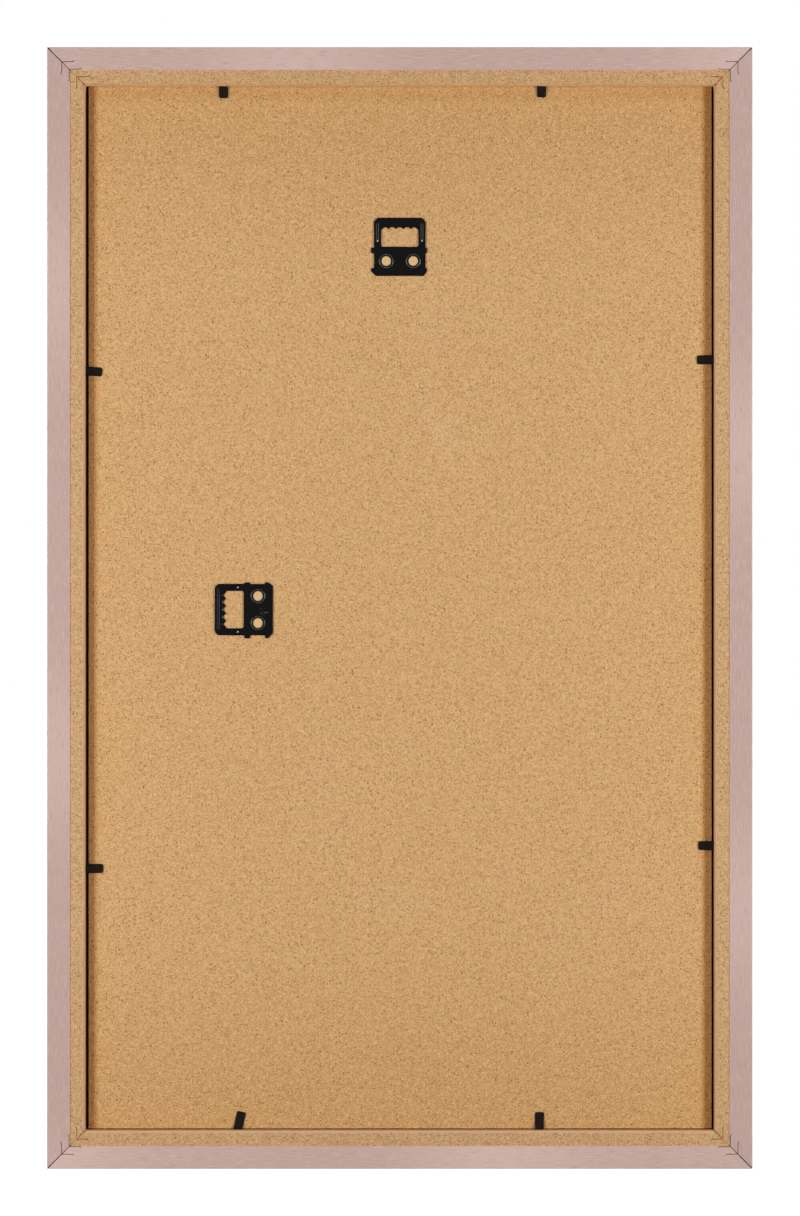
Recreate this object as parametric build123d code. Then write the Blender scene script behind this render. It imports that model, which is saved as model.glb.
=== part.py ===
from build123d import *
import os
from math import atan2, degrees, hypot, radians, tan

# A wall picture frame: mitred foil-wrapped rails round a glass pane, an insert sheet and a backing board.
# Bendable tabs hold the board in, and a sawtooth hanger is pressed into it for each way of hanging.
# Millimetres. X runs to the right as seen from the front, Y out of the back into the wall, Z up.
# The origin is on the wall plane, at the nail that carries the upright hanger.

# Picture format, and the sheets that lie in the rebate
format_width = 300.0
format_height = 500.0
format_clearance = 1.25
glass_thickness = 2.0
glass_seam = 0.4
insert_thickness = 0.3
board_thickness = 3.0
board_gap_left = 0.92
board_gap_right = 1.27
board_gap_top = 0.1
board_gap_bottom = 0.35

# Moulding section: outer side to rebate wall, then the lip that the glass lies on
back_width = 18.25
lip_width = 5.0
moulding_depth = 20.0
recess_depth = 6.0
front_edge_radius = 1.2
back_edge_radius = 0.4
arris_chamfer = 0.9
foil_thickness = 0.25
foil_reach = 11.1

# Open mitre line on the back, wider at the outer corner
mitre_groove_depth = 1.2
mitre_opening_outer = 0.4
mitre_opening_inner = 0.08

# V-nails across each mitre, point towards the outer corner
vnail_count = 3
vnail_outer_margin = 7.05
vnail_inner_margin = 4.0
vnail_arm = 5.3
vnail_hook = 0.9
vnail_thickness = 0.3
vnail_height = 7.0
vnail_sink = 0.3

# Flexible tabs: a shank in the rebate wall, and a cranked blade over the board
tab_width = 4.4
tab_thickness = 0.5
tab_shank = 6.0
tab_wall_gap = 0.05
tab_board_gap = 0.05
tab_crank = 0.8
tab_crank_run = 3.2
tab_tip_radius = 1.0

# Each tab's rail, place along it from its middle, reach past the rebate wall, and lean in degrees
tabs = {
    "flex_tab_top_left": ("top", -68.3, 5.3, 0.0),
    "flex_tab_top_right": ("top", 84.9, 5.7, 0.0),
    "flex_tab_bottom_left": ("bottom", -67.2, 8.4, -1.5),
    "flex_tab_bottom_right": ("bottom", 78.1, 8.6, -13.0),
    "flex_tab_left_upper": ("left", 119.5, 8.1, 0.0),
    "flex_tab_left_lower": ("left", -114.5, 7.4, 0.0),
    "flex_tab_right_upper": ("right", 114.1, 7.9, -3.0),
    "flex_tab_right_lower": ("right", -125.5, 8.4, 0.0),
}

# Hangers: places of the nail line from the frame's outer edge, and the pressed sheet
nail_drop = 85.6
nail_inset = 84.4
landscape_shift = -0.8
hanger_sheet = 0.6
hanger_width = 24.8
loop_bar = 4.05
loop_chamfer = 1.7
loop_lift = 0.1
window_width = 18.0
window_height = 9.9
window_radius = 0.9
tooth_count = 4
tooth_pitch = 3.6
tooth_depth = 1.25
fold_rise = 1.5
fold_gap = 0.1
bead_inset = 1.4
bead_width = 1.4
bead_height = 0.35
bead_corner = 1.6
bead_stop = 7.0
plate_height = 14.1
ear_reach_left = 1.45
ear_reach_right = 0.75
ear_drop = 0.4
ear_height = 2.7
foot_ear_height = 1.5
foot_rise = 2.3
foot_inset = 0.9
eyelet_spacing = 13.0
eyelet_drop = 6.9
eyelet_bore = 5.0
eyelet_round = 1.05
eyelet_press = 2.4

# Sizes that follow
rebate_width = format_width + 2 * format_clearance
rebate_height = format_height + 2 * format_clearance
outer_width = rebate_width + 2 * back_width
outer_height = rebate_height + 2 * back_width
face_width = back_width + lip_width
board_back = recess_depth
insert_back = board_back + board_thickness
glass_back = insert_back + insert_thickness
rebate_depth = glass_back + glass_thickness
top_z = nail_drop
bottom_z = top_z - outer_height
middle_z = (top_z + bottom_z) / 2

# Each rail's own axes: inward from the outer side, then to the front, then along the rail
rail_frames = {
    "top": Plane((0, 0, top_z), x_dir=(0, 0, -1), z_dir=(-1, 0, 0)),
    "bottom": Plane((0, 0, bottom_z), x_dir=(0, 0, 1), z_dir=(1, 0, 0)),
    "left": Plane((-outer_width / 2, 0, middle_z), x_dir=(1, 0, 0), z_dir=(0, 0, -1)),
    "right": Plane((outer_width / 2, 0, middle_z), x_dir=(-1, 0, 0), z_dir=(0, 0, 1)),
}
rail_lengths = {"top": outer_width, "bottom": outer_width, "left": outer_height, "right": outer_height}
along_signs = {"top": -1, "bottom": 1, "left": -1, "right": 1}

# Each corner's side in X and Z
corner_signs = {
    "top_left": (-1, 1),
    "top_right": (1, 1),
    "bottom_left": (-1, -1),
    "bottom_right": (1, -1),
}


def outline(points):
    return make_face(Polyline(*points, close=True))


def strip(points, width):
    # A bent strip: straight runs of one width with round corners between them
    shape = Sketch()
    for (x0, y0), (x1, y1) in zip(points, points[1:]):
        turn = degrees(atan2(y1 - y0, x1 - x0))
        run = Rectangle(hypot(x1 - x0, y1 - y0), width)
        shape += Pos((x0 + x1) / 2, (y0 + y1) / 2) * Rot(0, 0, turn) * run
    for x, y in points[1:-1]:
        shape += Pos(x, y) * Circle(width / 2)
    return shape


def plan(points, depth):
    # A prism over an outline given as inward and along the rail, from the back plane to a depth
    return extrude(Plane.XZ * outline(points), amount=-depth)


def rounded(section, corners, radius):
    picked = [v for v in section.vertices() if any((v.center() - Vector(*c)).length < radius / 4 for c in corners)]
    return fillet(picked, radius)


def core_section():
    foil = foil_thickness
    wrapped_back = (foil, foil)
    wrapped_front = (foil, moulding_depth - foil)
    wrapped_sight = (face_width - foil, moulding_depth - foil)
    section = outline([
        wrapped_back,
        (back_width - arris_chamfer, foil),
        (back_width, foil + arris_chamfer),
        (back_width, rebate_depth),
        (face_width - foil, rebate_depth),
        wrapped_sight,
        wrapped_front,
    ])
    section = rounded(section, [wrapped_back], back_edge_radius - foil)
    return rounded(section, [wrapped_front, wrapped_sight], front_edge_radius - foil)


def foil_section():
    back, front, sight = (0, 0), (0, moulding_depth), (face_width, moulding_depth)
    wrapped = outline([
        back,
        (foil_reach, 0),
        (foil_reach, foil_thickness),
        (back_width, foil_thickness + arris_chamfer),
        (back_width, rebate_depth),
        (face_width, rebate_depth),
        sight,
        front,
    ])
    wrapped = rounded(wrapped, [back], back_edge_radius)
    wrapped = rounded(wrapped, [front, sight], front_edge_radius)
    inside = outline([
        (foil_reach, foil_thickness),
        (foil_reach, rebate_depth),
        (back_width, rebate_depth),
        (back_width, foil_thickness + arris_chamfer),
    ])
    return wrapped - core_section() - inside


def mitred(section, length):
    # A length of moulding cut at 45 degrees at both ends, with the mitre lines opened on the back
    half = length / 2
    blank = plan(
        [(0, -half), (0, half), (face_width, half - face_width), (face_width, face_width - half)],
        moulding_depth,
    )
    rail = extrude(section, amount=half, both=True) & blank
    for side in (-1, 1):
        rail -= plan(
            [
                (0, side * half),
                (0, side * (half - mitre_opening_outer)),
                (back_width, side * (half - back_width - mitre_opening_inner)),
                (back_width, side * (half - back_width)),
            ],
            mitre_groove_depth,
        )
    return rail


def corner_nails(signs, top, bottom):
    # The V-nails of one corner, between two depths under the back plane
    side_x, side_z = signs
    corner_z = middle_z + side_z * outer_height / 2
    span = back_width - vnail_inner_margin - vnail_outer_margin
    hook = vnail_hook / 2**0.5
    nails = []
    for index in range(vnail_count):
        point = vnail_outer_margin + span * index / (vnail_count - 1)
        tip = point + vnail_arm
        bends = [(tip + hook, point - hook), (tip, point), (point, point), (point, tip), (point - hook, tip + hook)]
        placed = [(side_x * (outer_width / 2 - across), corner_z - side_z * down) for across, down in bends]
        nails.append(extrude(Plane.XZ.offset(top) * strip(placed, vnail_thickness), amount=bottom - top))
    return nails


def tab_axis():
    # Where a tab bends: inward place and depth of the bend's centre
    blade_middle = board_back - tab_board_gap - tab_thickness / 2
    return back_width + tab_wall_gap + tab_thickness / 2, blade_middle - tab_crank


def tab_blade(along, reach, lean):
    axis_in, axis_depth = tab_axis()
    tip = back_width + reach
    run = [(axis_in, axis_depth), (axis_in + tab_crank_run, axis_depth + tab_crank), (tip, axis_depth + tab_crank)]
    side = strip(run, tab_thickness) + Pos(axis_in, axis_depth) * Circle(tab_thickness / 2)
    shift = reach * tan(radians(lean))
    low, high = along - tab_width / 2, along + tab_width / 2
    tips = [(tip, high + shift), (tip, low + shift)]
    shape = outline([(back_width, low), (back_width, high), *tips])
    shape = rounded(shape, tips, tab_tip_radius)
    sweep_room = 2 * (tab_width + abs(shift))
    return Pos(0, 0, along) * extrude(side, amount=sweep_room, both=True) & extrude(
        Plane.XZ * shape, amount=-rebate_depth
    )


def tab_shank_solid(along):
    axis_depth = tab_axis()[1]
    return Pos(back_width - tab_shank / 2, axis_depth, along) * Box(tab_shank, tab_thickness, tab_width)


def sheet_box(left, right, low, high, back, thickness):
    centre = Pos((left + right) / 2, -back - thickness / 2, (low + high) / 2)
    return centre * Box(right - left, thickness, high - low)


def eyelet_collar():
    # A drawn collar: rounded mouth on the sheet's face, tube pressed into the board
    bore = eyelet_bore / 2
    mouth = bore + eyelet_round
    wall = bore + hanger_sheet
    bend = eyelet_round - hanger_sheet
    diagonal = 0.5**0.5
    section = make_face([
        ThreePointArc(
            (mouth, hanger_sheet),
            (mouth - eyelet_round * diagonal, -bend + eyelet_round * diagonal),
            (bore, -bend),
        ),
        Line((bore, -bend), (bore, -eyelet_press)),
        Line((bore, -eyelet_press), (wall, -eyelet_press)),
        Line((wall, -eyelet_press), (wall, -bend)),
        ThreePointArc((wall, -bend), (mouth - bend * diagonal, -bend + bend * diagonal), (mouth, 0)),
        Line((mouth, 0), (mouth, hanger_sheet)),
    ])
    return revolve(Plane.XZ * section, Axis.Z)


def eyelet_places():
    return [(side * eyelet_spacing / 2, -window_height - eyelet_drop) for side in (-1, 1)]


def hanger_collars():
    return [Pos(x, y, 0) * eyelet_collar() for x, y in eyelet_places()]


def fold_line():
    # Where the loop bends: height below the nail line, and height of the sheet's middle over the board
    return fold_rise - window_height, loop_lift + hanger_sheet / 2


def plate_side(ear_reach):
    # One side of the plate, from its foot up past two ears to the stub, then in to the window's corner
    half = hanger_width / 2
    stub_top = fold_line()[0] - hanger_sheet / 2 - fold_gap
    foot = -window_height - plate_height
    ear_top = -window_height - ear_drop
    return [
        (half - foot_inset, foot),
        (half + ear_reach, foot + foot_rise),
        (half + ear_reach, foot + foot_rise + foot_ear_height),
        (half, foot + foot_rise + foot_ear_height),
        (half, ear_top - ear_height),
        (half + ear_reach, ear_top - ear_height),
        (half + ear_reach, ear_top),
        (half, ear_top),
        (half, stub_top),
        (window_width / 2, stub_top),
        (window_width / 2, -window_height),
    ]


def hanger_plate():
    # The fixed half: eared plate with two eyelets and the stubs of the loop's arms
    right = plate_side(ear_reach_right)
    left = [(-x, y) for x, y in reversed(plate_side(ear_reach_left))]
    shape = outline(right + left)
    shape = rounded(shape, [right[-1], left[0]], window_radius)
    for x, y in eyelet_places():
        shape -= Pos(x, y) * Circle(eyelet_bore / 2 + eyelet_round)
    plate = extrude(shape, amount=hanger_sheet)
    for collar in hanger_collars():
        plate += collar
    return plate


def hanger_window():
    # The loop's window: straight sides under a row of arched notches between the teeth
    half = window_width / 2
    fold = fold_line()[0] - hanger_sheet
    tips = [tooth_pitch * (index - (tooth_count - 1) / 2) for index in range(tooth_count)]
    stops = [-half, *tips, half]
    edges = [
        ThreePointArc((a, -tooth_depth), ((a + b) / 2, 0), (b, -tooth_depth)) for a, b in zip(stops, stops[1:])
    ]
    edges.append(Polyline((half, -tooth_depth), (half, fold), (-half, fold), (-half, -tooth_depth)))
    return make_face(edges)


def hanger_bead():
    # The raised bead that stiffens the loop, rounded off at both ends
    radius = (bead_width**2 / 4 + bead_height**2) / (2 * bead_height)
    side = hanger_width / 2 - bead_inset
    top = loop_bar - bead_inset
    centre = loop_lift + hanger_sheet + bead_height - radius
    path = FilletPolyline((-side, -bead_stop), (-side, top), (side, top), (side, -bead_stop), radius=bead_corner)
    tube = sweep(Plane(path @ 0, z_dir=path % 0) * Circle(radius), path=path)
    for end in (path @ 0, path @ 1):
        tube += Pos(end) * Sphere(radius)
    room = Box(2 * hanger_width, 4 * window_height, radius, align=(Align.CENTER, Align.CENTER, Align.MIN))
    return Pos(0, 0, centre) * tube & Pos(0, 0, loop_lift + hanger_sheet / 2) * room


def hanger_loop():
    # The half that bends out: toothed loop with a bead and round ends on its fold line
    half = hanger_width / 2
    fold, fold_height = fold_line()
    shape = outline([
        (half, fold),
        (half, loop_bar - loop_chamfer),
        (half - loop_chamfer, loop_bar),
        (loop_chamfer - half, loop_bar),
        (-half, loop_bar - loop_chamfer),
        (-half, fold),
    ])
    loop = Pos(0, 0, loop_lift) * extrude(shape - hanger_window(), amount=hanger_sheet)
    arm = half - window_width / 2
    for side in (-1, 1):
        nose = Rot(0, 90, 0) * Cylinder(hanger_sheet / 2, arm)
        loop += Pos(side * (half - arm / 2), fold, fold_height) * nose
    return loop + hanger_bead()


# Hanger axes: across the hanger, up to its loop, and out of the back from the board's face
landscape_x = outer_width / 2 - nail_inset
landscape_z = middle_z + landscape_shift
hanger_frames = {
    "portrait": Plane((0, -board_back, 0), x_dir=(-1, 0, 0), z_dir=(0, 1, 0)),
    "landscape": Plane((landscape_x, -board_back, landscape_z), x_dir=(0, 0, 1), z_dir=(0, 1, 0)),
}

# Build every piece
pieces = {}
nails_of_corner = {name: corner_nails(signs, vnail_sink, vnail_sink + vnail_height)
                   for name, signs in corner_signs.items()}
slots_of_corner = {name: corner_nails(signs, 0, vnail_sink + vnail_height) for name, signs in corner_signs.items()}
shanks_of_rail = {side: [] for side in rail_frames}
for name, (side, along, reach, lean) in tabs.items():
    sign = along_signs[side]
    pieces[name] = rail_frames[side] * tab_blade(sign * along, reach, sign * lean)
    shanks_of_rail[side].append(rail_frames[side] * tab_shank_solid(sign * along))

for side, frame in rail_frames.items():
    core = frame * mitred(core_section(), rail_lengths[side])
    foil = frame * mitred(foil_section(), rail_lengths[side])
    for corner, slots in slots_of_corner.items():
        if side in corner:
            core = core - slots
            foil = foil - slots
    pieces[side + "_rail"] = core - shanks_of_rail[side]
    pieces[side + "_rail_foil"] = foil

for corner, nails in nails_of_corner.items():
    pieces["v_nails_" + corner] = Compound(children=nails)
pieces["tab_shanks"] = Compound(children=[shank for shanks in shanks_of_rail.values() for shank in shanks])

glass = sheet_box(
    -format_width / 2,
    format_width / 2,
    middle_z - format_height / 2,
    middle_z + format_height / 2,
    glass_back,
    glass_thickness,
)
pieces["glass_pane"] = chamfer(glass.edges(), glass_seam)
pieces["insert_sheet"] = sheet_box(
    -format_width / 2,
    format_width / 2,
    middle_z - format_height / 2,
    middle_z + format_height / 2,
    insert_back,
    insert_thickness,
)
board = sheet_box(
    -rebate_width / 2 + board_gap_left,
    rebate_width / 2 - board_gap_right,
    middle_z - rebate_height / 2 + board_gap_bottom,
    middle_z + rebate_height / 2 - board_gap_top,
    board_back,
    board_thickness,
)
for name, frame in hanger_frames.items():
    pieces[name + "_hanger_plate"] = frame * hanger_plate()
    pieces[name + "_hanger_loop"] = frame * hanger_loop()
    for collar in hanger_collars():
        board -= frame * collar
pieces["backing_board"] = board

# Write one file per piece, and print where each moving piece bends
os.makedirs("parts", exist_ok=True)
for name, piece in pieces.items():
    export_step(piece, f"parts/{name}.step")
for name, (side, along, reach, lean) in tabs.items():
    axis_in, axis_depth = tab_axis()
    bend = rail_frames[side].from_local_coords((axis_in, axis_depth, along_signs[side] * along))
    print(name, "bends at", [round(value, 4) for value in bend], "about", list(-rail_frames[side].z_dir))
for name, frame in hanger_frames.items():
    bend = frame.from_local_coords((0, *fold_line()))
    print(name, "loop bends at", [round(value, 4) for value in bend], "about", list(frame.x_dir))
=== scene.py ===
import bmesh
import bpy
import math
from mathutils import Matrix, Vector


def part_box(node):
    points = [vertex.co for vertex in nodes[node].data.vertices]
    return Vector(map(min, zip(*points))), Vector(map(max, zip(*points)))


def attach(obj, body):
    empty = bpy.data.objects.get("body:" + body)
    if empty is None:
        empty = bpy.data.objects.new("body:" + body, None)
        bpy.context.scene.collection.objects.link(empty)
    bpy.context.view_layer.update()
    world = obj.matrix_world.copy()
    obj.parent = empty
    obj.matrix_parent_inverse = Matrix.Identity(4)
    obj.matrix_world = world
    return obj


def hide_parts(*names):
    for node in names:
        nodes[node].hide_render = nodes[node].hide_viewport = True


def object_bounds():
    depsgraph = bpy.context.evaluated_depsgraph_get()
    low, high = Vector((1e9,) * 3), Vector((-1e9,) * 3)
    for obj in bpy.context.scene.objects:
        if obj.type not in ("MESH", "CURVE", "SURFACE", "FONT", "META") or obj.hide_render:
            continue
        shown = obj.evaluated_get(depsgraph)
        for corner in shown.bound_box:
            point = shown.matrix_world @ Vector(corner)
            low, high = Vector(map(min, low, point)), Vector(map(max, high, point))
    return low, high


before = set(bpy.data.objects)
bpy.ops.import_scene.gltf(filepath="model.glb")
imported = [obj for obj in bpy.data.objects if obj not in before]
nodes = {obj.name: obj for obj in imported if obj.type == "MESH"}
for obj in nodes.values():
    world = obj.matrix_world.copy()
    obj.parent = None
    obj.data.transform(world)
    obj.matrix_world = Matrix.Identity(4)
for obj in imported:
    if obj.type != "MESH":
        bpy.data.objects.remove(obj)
cadLow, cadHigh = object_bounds()
middle = (cadLow + cadHigh) / 2
mm = 0.001
# the moulding, in millimetres: its width on the back, the foil's reach there, the foil, the eased inner edge,
# and how deep the board lies
moulding = {"backWidth": 18.25, "foilReach": 11.1, "foil": 0.25, "arris": 0.9, "recess": 6.0}
# half the rebate's width and height
rebateHalf = (cadHigh - middle) - Vector((1, 0, 1)) * moulding["backWidth"] * mm
print("frame loaded:", len(nodes), "nodes")


# one socket of a node tree, so that shader maths reads as plain Python
class Signal:
    def __init__(self, tree, socket):
        self.tree = tree
        self.socket = socket

    # any node: its type, its settings, its sockets' values or links, and which output to hand on
    def make(self, kind, settings=None, sockets=None, output=0):
        node = self.tree.nodes.new(kind)
        for key, value in (settings or {}).items():
            setattr(node, key, value)
        for key, value in (sockets or {}).items():
            if isinstance(value, Signal):
                self.tree.links.new(value.socket, node.inputs[key])
            else:
                node.inputs[key].default_value = value
        return Signal(self.tree, node.outputs[output])

    def maths(self, operation, first, second):
        return self.make("ShaderNodeMath", {"operation": operation}, {0: first, 1: second})

    def __add__(self, other):
        return self.maths("ADD", self, other)

    def __radd__(self, other):
        return self.maths("ADD", other, self)

    def __sub__(self, other):
        return self.maths("SUBTRACT", self, other)

    def __rsub__(self, other):
        return self.maths("SUBTRACT", other, self)

    def __mul__(self, other):
        return self.maths("MULTIPLY", self, other)

    def __rmul__(self, other):
        return self.maths("MULTIPLY", other, self)

    def __abs__(self):
        return self.maths("ABSOLUTE", self, 0.0)


def lightOf(colour):  # display values 0-255 to the linear colour that a socket takes
    parts = [c / 255 for c in colour]
    return tuple(c / 12.92 if c < 0.04 else ((c + 0.055) / 1.055) ** 2.4 for c in parts) + (1.0,)


def grainOn(place, scale, detail=2.0, roughness=0.5, warp=0.0):
    values = {"Vector": place, "Scale": scale, "Detail": detail, "Roughness": roughness, "Distortion": warp}
    return place.make("ShaderNodeTexNoise", None, values)


def drawnOut(place, scale, turn=(0, 0, 0)):  # stretches and turns a pattern
    return place.make("ShaderNodeMapping", None, {"Vector": place, "Scale": scale, "Rotation": turn})


def fade(value, low, high):  # 0 below low, 1 above high
    values = {"Value": value, "From Min": low, "From Max": high}
    return value.make("ShaderNodeMapRange", {"interpolation_type": "SMOOTHSTEP"}, values)


def tint(mask, under, over):
    return mask.make("ShaderNodeMix", {"data_type": "RGBA"}, {0: mask, 6: under, 7: over}, 2)


def shade(mask, under, over):  # as tint, but multiplies, so that a pattern shows through
    settings = {"data_type": "RGBA", "blend_type": "MULTIPLY"}
    return mask.make("ShaderNodeMix", settings, {0: mask, 6: under, 7: over}, 2)


def newFinish(name):
    finish = bpy.data.materials.new(name)
    finish.use_nodes = True
    tree = finish.node_tree
    shader = tree.nodes["Principled BSDF"]
    place = Signal(tree, tree.nodes.new("ShaderNodeTexCoord").outputs["Object"])
    return finish, shader, place


def feed(shader, **sockets):  # links or sets the shader's sockets, named with underscores for spaces
    for key, value in sockets.items():
        socket = shader.inputs[key.replace("_", " ")]
        if isinstance(value, Signal):
            value.tree.links.new(value.socket, socket)
        else:
            socket.default_value = value


def relief(height, strength, depth):
    return height.make("ShaderNodeBump", None, {"Height": height, "Strength": strength, "Distance": depth})


def axisOf(place, letter):
    return place.make("ShaderNodeSeparateXYZ", None, {"Vector": place}, letter)


def outwardOf(place):  # how far a point lies outside the rebate's walls, in metres
    across = abs(axisOf(place, "X") - middle.x) - rebateHalf.x
    up = abs(axisOf(place, "Z") - middle.z) - rebateHalf.z
    return across.maths("MAXIMUM", across, up)


# raw fibreboard: pressed wood fibre with fine mottle, curled strands, dark specks and soft clouds; a grain is
# its scale, detail, roughness and warp, and a fade is where a grain starts to show and where it shows fully
boardLook = {
    "ground": (210, 167, 113), "pale": (229, 190, 139), "deep": (176, 129, 76), "cloud": (212, 168, 121),
    "scuff": (222, 184, 139), "fibre": (162, 117, 66), "speck": (104, 68, 34), "end": (196, 148, 88),
    "ruddy": (214, 163, 113), "straw": (203, 166, 111),
    "fine": (1900, 3.0, 0.65), "fineDeep": 1.0, "deepFade": (0.50, 0.66),
    "finePale": 0.9, "paleFade": (0.52, 0.68),
    "mottle": (520, 2.0, 0.55), "mottleMix": 0.34, "mottleFade": (0.52, 0.78),
    "clouds": (17, 3.0, 0.55), "cloudMix": 0.55, "cloudFade": (0.38, 0.66),
    "scuffs": (9, 4.0, 0.6, 0.6), "scuffMix": 0.35, "scuffFade": (0.60, 0.74),
    "hue": (260, 2.0, 0.6), "hueMix": 0.6, "hueFade": (0.52, 0.72),
    "curl": (430, 1.0, 0.5, 0.6), "curlTurns": (0.0, 1.1), "curlWidth": 0.035,
    "curlDeep": 0.22, "curlPale": 0.16,
    "dots": {"cells": 650, "core": 0.189, "size": 0.27, "share": 0.1, "mix": 0.78},
    "splinters": {"cells": 170, "core": 0.042, "size": 0.06, "share": 0.2, "mix": 0.9},
    "splinterLie": (1, 1, 0.4), "splinterTurn": (0, 0.6, 0), "endReach": 0.10, "endMix": 0.62,
    "rough": 0.86, "roughVary": 0.2, "specular": 0.18, "bump": 0.30, "depth": 0.00025,
    "rise": {"mottle": 0.5, "fine": 0.5, "strand": 0.2, "furrow": 0.3, "pit": 0.5},
}
railLook = dict(
    boardLook, ground=(204, 163, 119), pale=(222, 184, 140), deep=(174, 130, 84), cloud=(207, 165, 126),
    scuff=(213, 175, 133), fibre=(158, 113, 66), speck=(106, 68, 36), end=(196, 150, 101),
    ruddy=(210, 162, 118), straw=(200, 164, 115), mottle=(560, 2.0, 0.55), mottleMix=0.55,
    clouds=(24, 3.0, 0.55), curlDeep=0.55, curlPale=0.40, endMix=0.4,
)
# the moulding's inner edge, in metres: eased and paler (paler fibre and a painted highlight, not at the top),
# painted shade down the long walls, painted light on the top wall, and painted shade darkest below the board
arrisAndWallShadeLook = {
    "tone": (216, 179, 138), "mix": 0.7, "soft": 0.0003, "topReach": (0.004, 0.001),
    "wall": (166, 122, 76), "wallShadeMix": 0.85, "topWallLight": (238, 200, 156), "topWallLightMix": 0.9,
    "slitShade": (70, 44, 22), "slitReach": (0.0068, 0.0056),
}
# the board's rim, in millimetres from the walls: painted shadow beside the long walls and painted shade under
# the top one; and the board's rise inside the eyelets, which gets a painted light
rimShadeAndLightLook = {
    "side": (0.93, 0.77, 0.61, 1.0), "sideShadowReach": (7.0, 4.0),
    "top": (0.89, 0.87, 0.83, 1.0), "topReach": (10.0, 3.5),
    "plugLight": (234, 196, 146), "plugLightMix": 0.45, "swellRise": (0.15, 0.35),
}


def specksOn(place, form):  # small dark grains, in a share of the cells and not all equally dark
    cells = {"Vector": place, "Scale": form["cells"]}
    near = place.make("ShaderNodeTexVoronoi", None, cells, "Distance")
    pick = place.make("ShaderNodeTexVoronoi", None, cells, "Color")
    pick = pick.make("ShaderNodeSeparateColor", None, {"Color": pick}, "Red")
    return (1 - fade(near, form["core"], form["size"])) * fade(pick, form["share"], 1.0) * form["mix"]


def fibreboard(name, look):
    finish, shader, place = newFinish(name)
    fine = grainOn(place, *look["fine"])
    mottle = grainOn(place, *look["mottle"])
    cloud = fade(grainOn(place, *look["clouds"]), *look["cloudFade"])
    scuff = fade(grainOn(place, *look["scuffs"]), *look["scuffFade"])
    colour = tint(cloud * look["cloudMix"], lightOf(look["ground"]), lightOf(look["cloud"]))
    colour = tint(scuff * look["scuffMix"], colour, lightOf(look["scuff"]))
    ends = fade(abs(axisOf(place, "Z") - middle.z), rebateHalf.z - look["endReach"], rebateHalf.z)
    colour = tint(ends * look["endMix"], colour, lightOf(look["end"]))
    hue = grainOn(place, *look["hue"])
    colour = tint(fade(hue, *look["hueFade"]) * look["hueMix"], colour, lightOf(look["ruddy"]))
    colour = tint(fade(1 - hue, *look["hueFade"]) * look["hueMix"], colour, lightOf(look["straw"]))
    colour = tint(fade(mottle, *look["mottleFade"]) * look["mottleMix"], colour, lightOf(look["pale"]))
    colour = tint(fade(1 - mottle, *look["mottleFade"]) * look["mottleMix"], colour, lightOf(look["deep"]))
    curls = []  # curled strands follow the line where a warped noise crosses its middle
    for turn in look["curlTurns"]:
        swirl = grainOn(drawnOut(place, (1, 1, 1), (turn, turn, turn)), *look["curl"])
        curls.append(1 - fade(abs(swirl - 0.5), 0.0, look["curlWidth"]))
    colour = tint(curls[0] * look["curlPale"], colour, lightOf(look["pale"]))
    colour = tint(curls[1] * look["curlDeep"], colour, lightOf(look["fibre"]))
    colour = tint(fade(1 - fine, *look["deepFade"]) * look["fineDeep"], colour, lightOf(look["deep"]))
    colour = tint(fade(fine, *look["paleFade"]) * look["finePale"], colour, lightOf(look["pale"]))
    splinters = specksOn(drawnOut(place, look["splinterLie"], look["splinterTurn"]), look["splinters"])
    dots = specksOn(place, look["dots"])
    speck = dots.maths("MAXIMUM", dots, splinters)
    colour = tint(speck, colour, lightOf(look["speck"]))
    rise = look["rise"]
    height = mottle * rise["mottle"] + fine * rise["fine"] + curls[0] * rise["strand"]
    height = height - curls[1] * rise["furrow"] - speck * rise["pit"]
    feed(shader, Roughness=look["rough"] + (fine - 0.5) * look["roughVary"],
         Specular_IOR_Level=look["specular"], Normal=relief(height, look["bump"], look["depth"]))
    return finish, shader, place, colour


def backingBoard(name, look, rim):
    finish, shader, place, colour = fibreboard(name, look)
    # painted shadow on the board beside the long walls
    across = abs(axisOf(place, "X") - middle.x)
    sideShadow = fade(across, *(rebateHalf.x - reach * mm for reach in rim["sideShadowReach"]))
    colour = shade(sideShadow, colour, rim["side"])
    # painted shade on the board under the top wall
    up = axisOf(place, "Z") - middle.z
    under = fade(up, *(rebateHalf.z - reach * mm for reach in rim["topReach"]))
    colour = shade(under, colour, rim["top"])
    # painted light on the board's rise inside each eyelet
    plugLight = fade(axisOf(place, "Y"), *((rise - moulding["recess"]) * mm for rise in rim["swellRise"]))
    colour = tint(plugLight * rim["plugLightMix"], colour, lightOf(rim["plugLight"]))
    feed(shader, Base_Color=colour)
    return finish


def railCore(name, look, arris):
    finish, shader, place, colour = fibreboard(name, look)
    inner = 1 - fade(outwardOf(place), moulding["arris"] * mm, moulding["arris"] * mm + arris["soft"])
    level = axisOf(place, "Y")
    drop = (moulding["foil"] + moulding["arris"]) * mm
    edge = fade(level, -drop - arris["soft"], -drop)
    wall = inner * (1 - edge)
    up = axisOf(place, "Z") - middle.z
    near = [rebateHalf.z - reach for reach in arris["topReach"]]
    # the eased edge paler: its paler fibre and a painted highlight, left off along the top
    colour = tint(inner * edge * (1 - fade(up, *near)) * arris["mix"], colour, lightOf(arris["tone"]))
    # painted shade down the long walls
    colour = tint(wall * (1 - fade(abs(up), *near)) * arris["wallShadeMix"], colour, lightOf(arris["wall"]))
    # painted light on the top wall
    colour = tint(wall * fade(up, *near) * arris["topWallLightMix"], colour, lightOf(arris["topWallLight"]))
    # painted shade in the slit below the board, darkest there
    slitShade = inner * (1 - fade(level, *(-reach for reach in arris["slitReach"])))
    colour = tint(slitShade, colour, lightOf(arris["slitShade"]))
    feed(shader, Base_Color=colour)
    return finish
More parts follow.
